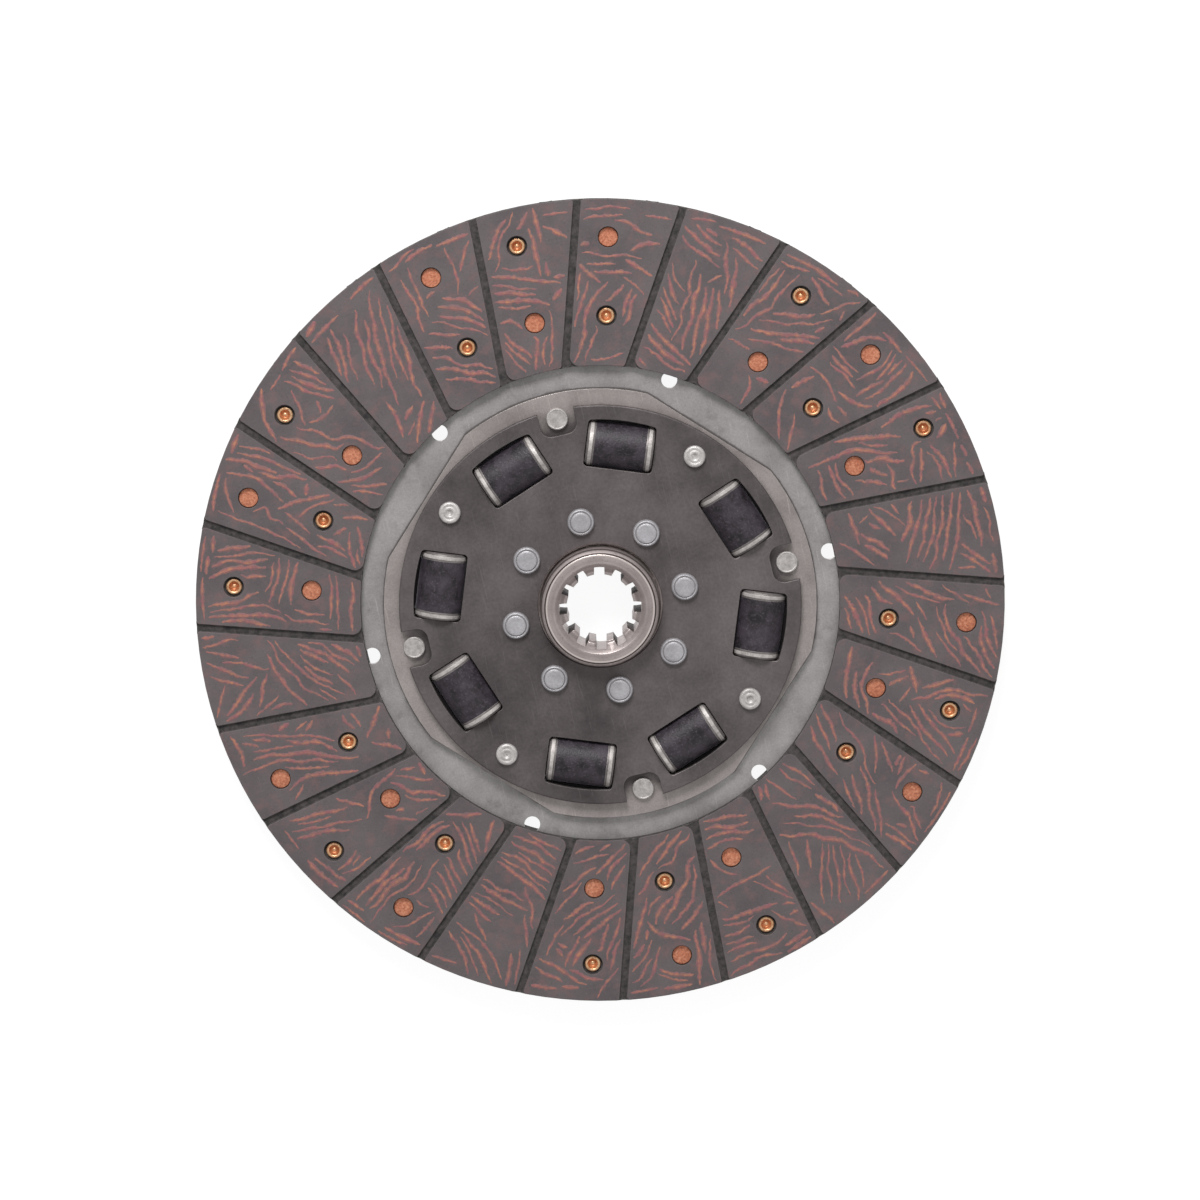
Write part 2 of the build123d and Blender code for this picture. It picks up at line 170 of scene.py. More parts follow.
def build_edge_wear_and_highlight():
    """Group that finds outer edges, where handling rubs the surface bright, as a broken mask; the mask also
    paints a highlight on the edges.
    """
    tree, given, made = new_group(
        "edge_wear_and_highlight", [("Vector", "Vector", None), ("Width", "Float", 0.4 * MM)], ["Mask"]
    )
    rounded = add_node(tree, "Bevel", {"Radius": given["Width"]}, samples=4).outputs[0]
    unrounded = add_node(tree, "NewGeometry").outputs["Normal"]
    match = add_node(tree, "VectorMath", {0: rounded, 1: unrounded}, operation="DOT_PRODUCT")
    near = steps_between(tree, match.outputs["Value"], 0.99, 0.86)
    broken = steps_between(tree, noise(tree, given["Vector"], 220.0, 4.0), 0.35, 0.6)
    tree.links.new(arithmetic(tree, "MULTIPLY", near, broken), made["Mask"])
    return tree


metal_grain = build_metal_grain()
turned_rings = build_turned_rings()
edge_wear_and_highlight = build_edge_wear_and_highlight()


def new_material(name, roughness, metallic):
    """A material whose shader has its plain values set. Returns it with its tree and shader."""
    material = bpy.data.materials.new(name)
    material.use_nodes = True
    shader = material.node_tree.nodes["Principled BSDF"]
    shader.inputs["Roughness"].default_value = roughness
    shader.inputs["Metallic"].default_value = metallic
    return material, material.node_tree, shader


def place_group(tree, group, sockets):
    """Place a node group in a material and return its outputs."""
    return add_node(tree, "Group", sockets, node_tree=group).outputs


def raise_surface(tree, shader, height, depth):
    """Give a shader a fine relief from a height between 0 and 1."""
    relief = add_node(tree, "Bump", {"Height": height, "Strength": 1.0, "Distance": depth})
    tree.links.new(relief.outputs[0], shader.inputs["Normal"])


def steel_material(
    name, dark, light, worn_and_highlit, roughness, metallic,
    stain_scale=40.0, grain_scale=1500.0, scratch=0.25, relief=0.02 * MM,
):
    """Steel with stains between two tones, bright rubbed edges that are partly a painted highlight, thin
    scratches and a fine grain.
    """
    material, tree, shader = new_material(name, roughness, metallic)
    place = object_place(tree)
    scales = {"Vector": place, "Stain Scale": stain_scale, "Grain Scale": grain_scale}
    grain = place_group(tree, metal_grain, scales)
    edges = place_group(tree, edge_wear_and_highlight, {"Vector": place})
    base = blend_tones(tree, grain["Stain"], dark, light)
    speckle = steps_between(tree, grain["Grain"], 0.3, 0.7, 0.86, 1.12)
    speckle_tone = add_node(tree, "CombineColor", {0: speckle, 1: speckle, 2: speckle}).outputs[0]
    base = blend_tones(tree, 1.0, base, speckle_tone, "MULTIPLY")
    base = blend_tones(tree, arithmetic(tree, "MULTIPLY", grain["Scratch"], scratch), base, worn_and_highlit)
    # Rubbed edges, brightened partly as a painted highlight.
    base = blend_tones(tree, edges["Mask"], base, worn_and_highlit)
    tree.links.new(base, shader.inputs["Base Color"])
    shine = steps_between(tree, grain["Stain"], 0.0, 1.0, roughness + 0.08, roughness - 0.06)
    tree.links.new(shine, shader.inputs["Roughness"])
    raise_surface(tree, shader, grain["Grain"], relief)
    return material


merge_reach = 0.002 * MM
flat_within = radians(0.5)
crease_angle = radians(48)
level_normal = 0.9999


def copied_shape(node):
    """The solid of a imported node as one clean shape, with doubles merged and flat faces made whole."""
    shape = bmesh.new()
    shape.from_mesh(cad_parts[node].data)
    bmesh.ops.remove_doubles(shape, verts=shape.verts, dist=merge_reach)
    bmesh.ops.dissolve_limit(shape, angle_limit=flat_within, verts=shape.verts, edges=shape.edges)
    return shape


def break_edges(shape, width, least_angle=40.0):
    """Round the sharp edges a little, as tumbling and handling do."""
    sharp = [
        edge for edge in shape.edges
        if edge.is_manifold and edge.calc_face_angle() > radians(least_angle)
    ]
    bmesh.ops.bevel(
        shape, geom=sharp, offset=width, offset_type="OFFSET", affect="EDGES",
        segments=2, profile=0.5, material=-1, clamp_overlap=False,
    )


def finish_piece(shape, name, materials, body, node):
    """Make a piece of a finished shape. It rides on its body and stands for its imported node."""
    bmesh.ops.recalc_face_normals(shape, faces=shape.faces)
    rounded = [abs(face.normal.z) < level_normal for face in shape.faces]
    mesh = bpy.data.meshes.new(name)
    shape.to_mesh(mesh)
    shape.free()
    mesh.set_sharp_from_angle(angle=crease_angle)
    mesh.polygons.foreach_set("use_smooth", rounded)
    for material in materials:
        mesh.materials.append(material)
    piece = bpy.data.objects.new(name, mesh)
    bpy.context.scene.collection.objects.link(piece)
    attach(piece, body)
    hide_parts(node)
    return piece


hub_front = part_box("hub")[1].z
face_radius = 21.7 * MM
bore_reach = 17.2 * MM
upright_normal = 0.3
tooth_side_normal = 0.8


def machined_material():
    """Turned steel, ringed about the axis, with a bright lip, a dark line and painted shade on the shoulder
    in front.
    """
    material, tree, shader = new_material("machined_steel", 0.4, 0.75)
    place = object_place(tree)
    grain = place_group(tree, metal_grain, {"Vector": place, "Stain Scale": 70.0, "Grain Scale": 1300.0})
    rings = place_group(tree, turned_rings, {"Vector": place})
    edges = place_group(tree, edge_wear_and_highlight, {"Vector": place, "Width": 0.5 * MM})
    base = blend_tones(tree, grain["Stain"], tone(176, 165, 163), tone(214, 202, 199))
    duller = steps_between(tree, rings["Tone"], 0.35, 0.65, 0.0, 0.4)
    base = blend_tones(tree, duller, base, tone(140, 130, 128))
    pits = steps_between(tree, grain["Grain"], 0.44, 0.3, 0.0, 0.55)
    base = blend_tones(tree, pits, base, tone(118, 108, 106))
    # Rubbed edges, brightened partly as a painted highlight.
    worn_and_highlit = arithmetic(tree, "MULTIPLY", edges["Mask"], 0.5)
    base = blend_tones(tree, worn_and_highlit, base, tone(226, 216, 211))
    distance = axis_distance(tree, place)
    height = add_node(tree, "SeparateXYZ", {0: place}).outputs["Z"]
    in_front = steps_between(tree, height, hub_front - 1.2 * MM, hub_front - 0.9 * MM)
    dark_line = (face_radius + 0.35 * MM, 0.4 * MM, tone(84, 75, 73))
    bright_lip = (face_radius - 0.25 * MM, 0.42 * MM, tone(230, 218, 213))
    for radius, half_width, shade in (dark_line, bright_lip):
        away = arithmetic(tree, "ABSOLUTE", arithmetic(tree, "SUBTRACT", distance, radius))
        ring = steps_between(tree, away, half_width, 0.6 * half_width)
        base = blend_tones(tree, arithmetic(tree, "MULTIPLY", ring, in_front), base, shade)
    # Painted shade: the outer shoulder of the hub's front is darkened as if shaded.
    outside = steps_between(tree, distance, face_radius + 1.45 * MM, face_radius + 1.85 * MM, 0.0, 0.85)
    near_front = steps_between(tree, height, hub_front - 3.6 * MM, hub_front - 2.6 * MM)
    shoulder_shade = arithmetic(tree, "MULTIPLY", outside, near_front)
    base = blend_tones(tree, shoulder_shade, base, tone(62, 54, 53))
    tree.links.new(base, shader.inputs["Base Color"])
    raise_surface(tree, shader, arithmetic(tree, "ADD", rings["Height"], grain["Grain"]), 0.012 * MM)
    return material


hub_materials = [
    machined_material(),
    steel_material("broached_steel", tone(66, 60, 59), tone(104, 96, 94), tone(150, 140, 137), 0.6, 0.35),
]
hub_shape = copied_shape("hub")
break_edges(hub_shape, width=0.14 * MM, least_angle=30.0)
for face in hub_shape.faces:
    middle = face.calc_center_median()
    in_bore = middle.xy.length < bore_reach and abs(face.normal.z) < upright_normal
    is_tooth_side = abs(face.normal.xy.dot(middle.xy.normalized())) < tooth_side_normal
    face.material_index = int(in_bore and is_tooth_side)
finish_piece(hub_shape, "turned_hub", hub_materials, "hub_side", "hub")


# Friction washers: thin spring-steel rings, lapped flat, that lie loose round the hub flange.
# They are shut in between the side plates and the drive plate, so their solids stay as they are.

washer_material = steel_material(
    "washer_steel", tone(120, 116, 113), tone(150, 146, 142), tone(200, 196, 190), 0.35, 0.8
)
for washer in ("front_friction_washer", "rear_friction_washer"):
    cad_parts[washer].data.materials.clear()
    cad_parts[washer].data.materials.append(washer_material)


# Side plates: flat stampings in dark oiled steel, with a window for each damper.
# Tumbling has rounded their edges a little. Both are riveted to the hub flange.

side_plate_material = steel_material(
    "dark_plate", tone(69, 63, 64), tone(121, 113, 113), tone(150, 144, 141), 0.5, 0.5,
    stain_scale=26.0, grain_scale=800.0, scratch=0.15, relief=0.03 * MM,
)
for side in ("front", "rear"):
    plate_shape = copied_shape(f"{side}_side_plate")
    break_edges(plate_shape, width=0.25 * MM)
    finish_piece(
        plate_shape, f"{side}_stamped_plate", [side_plate_material],
        "hub_side", f"{side}_side_plate",
    )


# Drive plate: a flat steel stamping with four flats on its rim, sheared from strip.
# It turns on the hub flange between the side plates, and its rim shows as a bare pinkish band.
# Oil and painted shade darken it in the notches of the side plates, and rubber dust and painted shade
# blacken it round the dampers.

drive_plate_radius = 87.0 * MM
drive_flat_distance = 82.0 * MM
bright_from = 81.0 * MM
oil_and_shade_within = 72.0 * MM
notch_half_width = 8.5 * MM
windows_end = 77.0 * MM
soft_edge = 0.5 * MM


def before_grime(material):
    """Node tree, shader, present colour and place of a finished steel, for grime to be laid over it."""
    tree = material.node_tree
    shader = tree.nodes["Principled BSDF"]
    return tree, shader, shader.inputs["Base Color"].links[0].from_socket, object_place(tree)


def plane_distances(tree, place):
    """Distances of a point from the two upright planes through the axis, without their signs."""
    unsigned = add_node(tree, "VectorMath", {0: place}, operation="ABSOLUTE").outputs[0]
    parted = add_node(tree, "SeparateXYZ", {0: unsigned}).outputs
    return parted["X"], parted["Y"]


def band_material():
    """Steel, bare at the rim, darker towards the hub with oil and painted shade, black round the dampers
    with rubber dust and painted shade, and painted shade on its sheared rim wall.
    """
    material = steel_material(
        "band_steel", tone(150, 142, 140), tone(188, 179, 176), tone(212, 204, 198), 0.44, 0.6,
        stain_scale=55.0, scratch=0.4,
    )
    tree, shader, base, place = before_grime(material)
    distance = axis_distance(tree, place)
    # Oil and painted shade: darker from the rim inwards, as in the notches.
    shift = steps_between(tree, noise(tree, place, 210.0, 5.0, 0.65), 0.25, 0.75, -2.5 * MM, 2.5 * MM)
    oil_and_shade = steps_between(tree, arithmetic(tree, "ADD", distance, shift), bright_from, oil_and_shade_within)
    base = blend_tones(tree, oil_and_shade, base, tone(92, 86, 85))
    # Rubber dust and painted shade: black round the damper windows, outside the notches.
    beside = arithmetic(tree, "MINIMUM", *plane_distances(tree, place))
    past_notch = steps_between(tree, beside, notch_half_width - soft_edge, notch_half_width + soft_edge)
    window_dust_and_shade = steps_between(tree, distance, windows_end + soft_edge, windows_end - soft_edge)
    base = blend_tones(tree, arithmetic(tree, "MULTIPLY", past_notch, window_dust_and_shade), base, tone(26, 23, 23))
    # Painted shade on the upright rim wall, standing for the dark line at the rim's foot.
    normal = add_node(tree, "SeparateXYZ", {0: add_node(tree, "NewGeometry").outputs["Normal"]})
    levelness = arithmetic(tree, "ABSOLUTE", normal.outputs["Z"])
    rim_start = drive_flat_distance - 2 * soft_edge
    at_rim = steps_between(tree, distance, rim_start, rim_start + soft_edge)
    sheared_wall_shade = arithmetic(tree, "MULTIPLY", steps_between(tree, levelness, 0.5, 0.2, 0.0, 0.8), at_rim)
    base = blend_tones(tree, sheared_wall_shade, base, tone(74, 68, 67))
    tree.links.new(base, shader.inputs["Base Color"])
    return material


drive_shape = copied_shape("drive_plate")
break_edges(drive_shape, width=0.12 * MM)
finish_piece(
    drive_shape, "stamped_drive_plate", [band_material()],
    "rim_side", "drive_plate",
)


# Carrier: a thin plate of cold-rolled spring steel with six wings, riveted to the drive plate.
# Slots between the wings end in punched relief holes, so that the wings can spring.

flats_turn = radians(45)
thin_shadow_reach = 0.5 * MM
thick_shadow_reach = 1.1 * MM


def carrier_material():
    """Spring steel, smudged, with a painted shadow line along the foot of the drive plate's rim."""
    material = steel_material(
        "carrier_steel", tone(148, 143, 143), tone(194, 190, 189), tone(222, 218, 215), 0.44, 0.6,
        stain_scale=34.0, scratch=0.3,
    )
    tree, shader, base, place = before_grime(material)
    # Painted shadow: a dark line on the carrier along the foot of the drive plate's rim.
    turned = add_node(tree, "Mapping", {"Vector": place, "Rotation": (0.0, 0.0, flats_turn)}).outputs[0]
    towards_flat = arithmetic(tree, "MAXIMUM", *plane_distances(tree, turned))
    past_flat = arithmetic(tree, "SUBTRACT", towards_flat, drive_flat_distance)
    past_round = arithmetic(tree, "SUBTRACT", axis_distance(tree, place), drive_plate_radius)
    gap = arithmetic(tree, "MAXIMUM", past_flat, past_round)
    cloud = noise(tree, place, 90.0, 5.0, 0.7)
    reach = steps_between(tree, cloud, 0.35, 0.65, thin_shadow_reach, thick_shadow_reach)
    line = steps_between(tree, arithmetic(tree, "DIVIDE", gap, reach), 1.0, 0.35, 0.0, 0.75)
    base = blend_tones(tree, line, base, tone(84, 79, 79))
    smudge = steps_between(tree, cloud, 0.56, 0.7, 0.0, 0.4)
    base = blend_tones(tree, smudge, base, tone(112, 106, 106))
    tree.links.new(base, shader.inputs["Base Color"])
    return material


carrier_shape = copied_shape("carrier_plate")
break_edges(carrier_shape, width=0.12 * MM)
finish_piece(
    carrier_shape, "spring_carrier", [carrier_material()],
    "rim_side", "carrier_plate",
)


# Friction facings: rings of moulded fibre with copper wire wound through it, ground flat.
# Grinding lays the wires bare as red strands in wavy bundles. The slanted grooves are moulded in.

facing_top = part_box("front_facing")[1].z
facing_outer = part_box("front_facing")[1].x
facing_width = 66.2 * MM
facing_inner = facing_outer - facing_width
groove_count = 24
groove_width = 3.0 * MM
groove_offset = 20.8 * MM
first_groove_degrees = -2.1
groove_angles = np.radians(first_groove_degrees + 360 / groove_count * np.arange(groove_count))

outer_rivet_row = facing_outer - 15.1 * MM
inner_rivet_row = facing_inner + 19.8 * MM
wing_angles = [radians(30 + 60 * wing) for wing in range(6)]
rivet_side_angle = radians(14.2)


def polar(radius, angle):
    """Point on a circle about the disc's axis."""
    return (radius * cos(angle), radius * sin(angle))


def facing_rivet_places():
    """Centres of the facing rivets, those with the head in front first. Heads alternate, row against row."""
    head_in_front, head_behind = [], []
    for wing, middle in enumerate(wing_angles):
        for step in (-1, 0, 1):
            angle = middle + step * rivet_side_angle
            pair = [polar(outer_rivet_row, angle), polar(inner_rivet_row, angle)]
            if (wing + step) % 2:
                pair.reverse()
            head_in_front.append(pair[0])
            head_behind.append(pair[1])
    return head_in_front, head_behind


head_in_front, head_behind = facing_rivet_places()
rivet_centres = np.array(head_in_front + head_behind)

wire_step = 0.9 * MM
longest_step = 1.8 * wire_step
wire_gap = 1.75 * MM
wire_half_width = 1.06 * MM
wire_section = ((1, 0), (0.42, 0.1), (-0.42, 0.1), (-1, 0))
wire_side_normal = 0.99
neighbourhood = 40 * MM
bare_margin = 1.2 * MM
rivet_push = 5.3 * MM
push_reach = 3 * rivet_push
least_distance = 0.1 * MM
rivet_clearance = rivet_push - 0.6 * MM

# Counts and ranges that the wires are drawn from. Lengths are in millimetres.

bare_spot_count = 14
bare_spot_reach = (5, 11)
rim_strand_count = 54
rim_strand_inset = (2.0, 6.5)
rim_strand_half_length = (5, 17)
rim_strand_swing = (0, 1.6)
fewest_points = 6
bundle_bend = (30, 150)
bundle_spacing = (2.5, 3.9)
bundle_fan = 0.04
bundle_scatter = 0.25
ragged_end = (0.55, 1.05)
long_bundles = {"count": 330, "half_length": (15, 32), "rows": (4, 10), "fewest_points": 14}
short_bundles = {"count": 250, "half_length": (4, 11), "rows": (2, 5), "fewest_points": fewest_points}
slow_wave = {"height": (0.2, 0.75), "length": (1.8, 4.5), "shift": 2}
quick_wave = {"height": (0.05, 0.2), "length": (0.9, 1.6), "shift": 3}
strand_fullness = (0.6, 1.2)
point_fullness = (0.55, 1.2)
fraying = 0.09 * MM


def distances(points, places):
    """Distance of each point from each place, as a table."""
    return np.hypot(*(points[:, None] - places[None]).transpose(2, 0, 1))


def polar_rows(radius, angle):
    """Points about the disc's axis, one to a row."""
    return np.stack([radius * np.cos(angle), radius * np.sin(angle)], axis=1)


def on_a_pad(points):
    """Which points lie on the ground pads, clear of rims, grooves and rivet holes."""
    radius = np.hypot(points[:, 0], points[:, 1])
    along = points @ np.array([np.cos(groove_angles), np.sin(groove_angles)])
    across = points @ np.array([-np.sin(groove_angles), np.cos(groove_angles)]) - groove_offset
    in_groove = (along > 0) & (np.abs(across) < groove_width / 2 + bare_margin)
    return (
        (radius > facing_inner + bare_margin)
        & (radius < facing_outer - bare_margin)
        & ~in_groove.any(axis=1)
        & (distances(points, rivet_centres) > rivet_clearance).all(axis=1)
    )


def pushed_from_rivets(points):
    """Bend a strand round the rivet holes, as the wires were laid."""
    for centre in rivet_centres:
        away = points - centre
        distance = np.hypot(away[:, 0], away[:, 1])[:, None]
        if distance.min() < push_reach:
            pushed = np.sqrt(distance**2 + rivet_push**2)
            points = centre + away * pushed / np.maximum(distance, least_distance)
    return points


def longest_run(good):
    """Where the longest stretch of true values starts and ends."""
    changes = np.flatnonzero(np.diff(np.concatenate(([0], good.astype(int), [0]))))
    return max(changes.reshape(-1, 2), key=np.ptp, default=(0, 0))


def rim_strand(chance):
    """A strand that follows the rim and swings inwards towards its end."""
    radius = facing_outer - chance.uniform(*rim_strand_inset) * MM
    middle = chance.uniform(0, tau)
    reach = chance.uniform(*rim_strand_half_length) * MM / radius
    angles = np.arange(middle - reach, middle + reach, wire_step / radius)
    swing = radius - chance.uniform(*rim_strand_swing) * MM * np.linspace(0, 1, len(angles)) ** 2
    return polar_rows(swing, angles)


def bundle_strands(chance, bundle):
    """Strands of one bundle, side by side on a common bend, each with its own waves."""
    radius = np.sqrt(chance.uniform(facing_inner**2, facing_outer**2))
    spot = np.array(polar(radius, chance.uniform(0, tau)))
    heading = chance.uniform(0, pi)
    bend = chance.choice([-1, 1]) / (chance.uniform(*bundle_bend) * MM)
    spacing = chance.uniform(*bundle_spacing) * MM
    half_length = chance.uniform(*bundle["half_length"]) * MM
    rows = chance.integers(*bundle["rows"])
    fan = chance.normal(0, bundle_fan)
    for row in range(rows):
        side = (row - (rows - 1) / 2) * spacing + chance.normal(0, bundle_scatter) * MM
        start = -half_length * chance.uniform(*ragged_end)
        end = half_length * chance.uniform(*ragged_end)
        run = np.arange(start, end, wire_step)
        forward = (1 / bend - side) * np.sin(bend * run)
        wobble = 0.0
        for wave in (slow_wave, quick_wave):
            height = chance.uniform(*wave["height"]) * MM
            length = chance.uniform(*wave["length"]) * MM
            wobble = wobble + height * np.sin(run / length + wave["shift"] * row)
        sideways = 1 / bend - (1 / bend - side) * np.cos(bend * run) + wobble
        turn = heading + fan * row
        x = forward * cos(turn) - sideways * sin(turn)
        y = forward * sin(turn) + sideways * cos(turn)
        yield np.stack([x, y], axis=1) + spot


def wire_paths(chance):
    """Centre lines of the bare wires on one facing, none over another: rim strands, then bundles."""
    paths = []
    taken = np.empty((0, 2))
    bare_radius = np.sqrt(chance.uniform(facing_inner**2, facing_outer**2, bare_spot_count))
    bare_spots = polar_rows(bare_radius, chance.uniform(0, tau, bare_spot_count))
    bare_reach = chance.uniform(*bare_spot_reach, bare_spot_count) * MM

    def lay(points, fewest):
        """Keep the longest free stretch of a strand, if it has enough points."""
        nonlocal taken
        points = pushed_from_rivets(points)
        near = taken[np.hypot(*(taken - points.mean(axis=0)).T) < neighbourhood]
        free = on_a_pad(points) & (distances(points, bare_spots) > bare_reach).all(axis=1)
        free[1:] &= np.hypot(*np.diff(points, axis=0).T) < longest_step
        free &= (distances(points, near) > wire_gap).all(axis=1)
        start, end = longest_run(free)
        if end - start >= fewest:
            paths.append(points[start:end])
            taken = np.vstack([taken, points[start:end]])

    for _ in range(rim_strand_count):
        lay(rim_strand(chance), fewest_points)
    for bundle in (long_bundles, short_bundles):
        for _ in range(bundle["count"]):
            for strand in bundle_strands(chance, bundle):
                lay(strand, bundle["fewest_points"])
    return paths


def wire_shape(seed, height, side):
    """Mesh of the bare wires: flat strands with sloping sides that thin out at their ends."""
    outline = bpy.data.curves.new("wire_section", "CURVE")
    outline.dimensions = "2D"
    ring = outline.splines.new("POLY")
    ring.points.add(len(wire_section) - 1)
    for point, (x, y) in zip(ring.points, wire_section):
        point.co = (x * wire_half_width, y * wire_half_width, 0, 1)
    ring.use_cyclic_u = True
    section = bpy.data.objects.new("wire_section", outline)

    lines = bpy.data.curves.new("wires", "CURVE")
    lines.dimensions = "3D"
    lines.twist_mode = "Z_UP"
    lines.bevel_mode = "OBJECT"
    lines.bevel_object = section
    lines.use_fill_caps = True
    chance = np.random.default_rng(seed)
    for path in wire_paths(chance):
        strand = lines.splines.new("POLY")
        strand.points.add(len(path) - 1)
        fullness = np.sin(np.linspace(0.1, pi - 0.1, len(path))) ** 0.5
        fullness = fullness * chance.uniform(*strand_fullness) * chance.uniform(*point_fullness, len(path))
        frayed = path + chance.normal(0, fraying, path.shape)
        for point, (x, y), radius in zip(strand.points, frayed, fullness):
            point.co = (x, y, height, 1)
            point.radius = radius
    holder = bpy.data.objects.new("wires", lines)
    for temporary in (section, holder):
        bpy.context.scene.collection.objects.link(temporary)
    bpy.context.view_layer.update()
    mesh = bpy.data.meshes.new_from_object(holder.evaluated_get(bpy.context.evaluated_depsgraph_get()))
    for temporary in (section, holder):
        bpy.data.objects.remove(temporary)
    mesh.transform(Matrix.Diagonal((1, side, side, 1)))
    return mesh


def friction_material():
    """Ground fibre moulding: dark grey with fine specks, the groove floors darker and mottled."""
    material, tree, shader = new_material("friction", 0.85, 0.0)
    place = object_place(tree)
    cloud = steps_between(tree, noise(tree, place, 45.0, 5.0, 0.6), 0.35, 0.65)
    base = blend_tones(tree, cloud, tone(91, 84, 86), tone(105, 97, 98))
    specks = noise(tree, place, 1100.0, 3.0, 0.75)
    pale = steps_between(tree, specks, 0.6, 0.75, 0.0, 0.5)
    base = blend_tones(tree, pale, base, tone(134, 127, 126))
    deep = steps_between(tree, specks, 0.42, 0.3, 0.0, 0.6)
    base = blend_tones(tree, deep, base, tone(66, 63, 63))
    red = steps_between(tree, noise(tree, place, 170.0, 4.0, 0.7), 0.5, 0.68, 0.0, 0.45)
    base = blend_tones(tree, red, base, tone(132, 97, 96))
    depth = arithmetic(tree, "ABSOLUTE", add_node(tree, "SeparateXYZ", {0: place}).outputs["Z"])
    groove = steps_between(tree, depth, facing_top - 0.25 * MM, facing_top - 0.6 * MM)
    mottle = noise(tree, place, 320.0, 4.0, 0.7)
    mottled = steps_between(tree, mottle, 0.35, 0.65)
    base = blend_tones(tree, groove, base, blend_tones(tree, mottled, tone(44, 42, 42), tone(84, 78, 77)))
    # Pale pad edges: rubbed fibre and dust, with a painted highlight where the edges catch the light.
    edges = place_group(tree, edge_wear_and_highlight, {"Vector": place})
    rubbed_and_highlit = arithmetic(tree, "MULTIPLY", edges["Mask"], 0.55)
    base = blend_tones(tree, rubbed_and_highlit, base, tone(148, 143, 140))
    tree.links.new(base, shader.inputs["Base Color"])
    raise_surface(tree, shader, arithmetic(tree, "ADD", specks, mottle), 0.06 * MM)
    return material


def bare_wire_material(name, red, orange, dull_tone):
    """Copper wire ground flush: brick red to orange, dulled where fibre smears over it."""
    material, tree, shader = new_material(name, 0.6, 0.1)
    place = object_place(tree)
    drift = steps_between(tree, noise(tree, place, 300.0, 5.0, 0.75), 0.4, 0.6)
    base = blend_tones(tree, drift, red, orange)
    smear = noise(tree, place, 220.0, 6.0, 0.8)
    dull = steps_between(tree, smear, 0.44, 0.64, 0.0, 0.85)
    base = blend_tones(tree, dull, base, dull_tone)
    tree.links.new(base, shader.inputs["Base Color"])
    raise_surface(tree, shader, smear, 0.03 * MM)
    return material


facing_materials = [
    friction_material(),
    bare_wire_material("bare_wire", tone(152, 96, 100), tone(184, 125, 98), tone(126, 96, 95)),
    bare_wire_material("smeared_wire", tone(140, 95, 100), tone(146, 104, 97), tone(110, 94, 95)),
]
for side, sign, seed in (("front", 1, 11), ("rear", -1, 29)):
    facing_shape = copied_shape(f"{side}_facing")
    break_edges(facing_shape, width=0.22 * MM)
    for face in facing_shape.faces:
        face.tag = True
    facing_shape.from_mesh(wire_shape(seed, facing_top, sign))
    for face in facing_shape.faces:
        is_wire_side = abs(face.normal.z) < wire_side_normal
        face.material_index = 0 if face.tag else 1 + int(is_wire_side)
    finish_piece(
        facing_shape, f"{side}_friction_ring", facing_materials,
        "rim_side", f"{side}_facing",
    )


# Facing rivets: semi-tubular copper rivets, headed on one side and rolled over on the other.
# Each sits in a counterbore, below the ground face. Heads and rolled ends alternate.

def outline_at(outline, height, sign=1):
    """Points of radius and rise, set at a height. A sign of -1 turns them over."""
    return [(radius, height + sign * rise) for radius, rise in outline]


def turned_shape(profile, steps):
    """Turn a profile of radius and height pairs, in millimetres, about the upright axis."""
    shape = bmesh.new()
    line = [shape.verts.new((radius * MM, 0, height * MM)) for radius, height in profile]
    edges = [shape.edges.new(pair) for pair in zip(line, line[1:])]
    bmesh.ops.spin(
        shape, geom=line + edges, cent=(0, 0, 0), axis=(0, 0, 1), angle=tau, steps=steps, use_merge=True
    )
    bmesh.ops.remove_doubles(shape, verts=shape.verts, dist=merge_reach)
    return shape


def set_down(shape, places):
    """Copies of one shape at each place, as like pieces that share a node."""
    single = bpy.data.meshes.new("single")
    bmesh.ops.recalc_face_normals(shape, faces=shape.faces)
    shape.to_mesh(single)
    shape.free()
    group = bmesh.new()
    for place in places:
        copy = single.copy()
        copy.transform(place)
        group.from_mesh(copy)
        bpy.data.meshes.remove(copy)
    bpy.data.meshes.remove(single)
    return group


def copper_material(name, dark, light, roughness, metallic):
    """Copper with a fine hammered grain and darker tarnish."""
    material, tree, shader = new_material(name, roughness, metallic)
    scales = {"Vector": object_place(tree), "Stain Scale": 160.0, "Grain Scale": 1100.0}
    grain = place_group(tree, metal_grain, scales)
    base = blend_tones(tree, grain["Stain"], dark, light)
    tarnish = steps_between(tree, grain["Grain"], 0.5, 0.36, 0.0, 0.6)
    base = blend_tones(tree, tarnish, base, tone(150, 86, 66))
    bright = steps_between(tree, grain["Grain"], 0.54, 0.66, 0.0, 0.5)
    base = blend_tones(tree, bright, base, tone(246, 190, 156))
    tree.links.new(base, shader.inputs["Base Color"])
    raise_surface(tree, shader, grain["Grain"], 0.02 * MM)
    return material


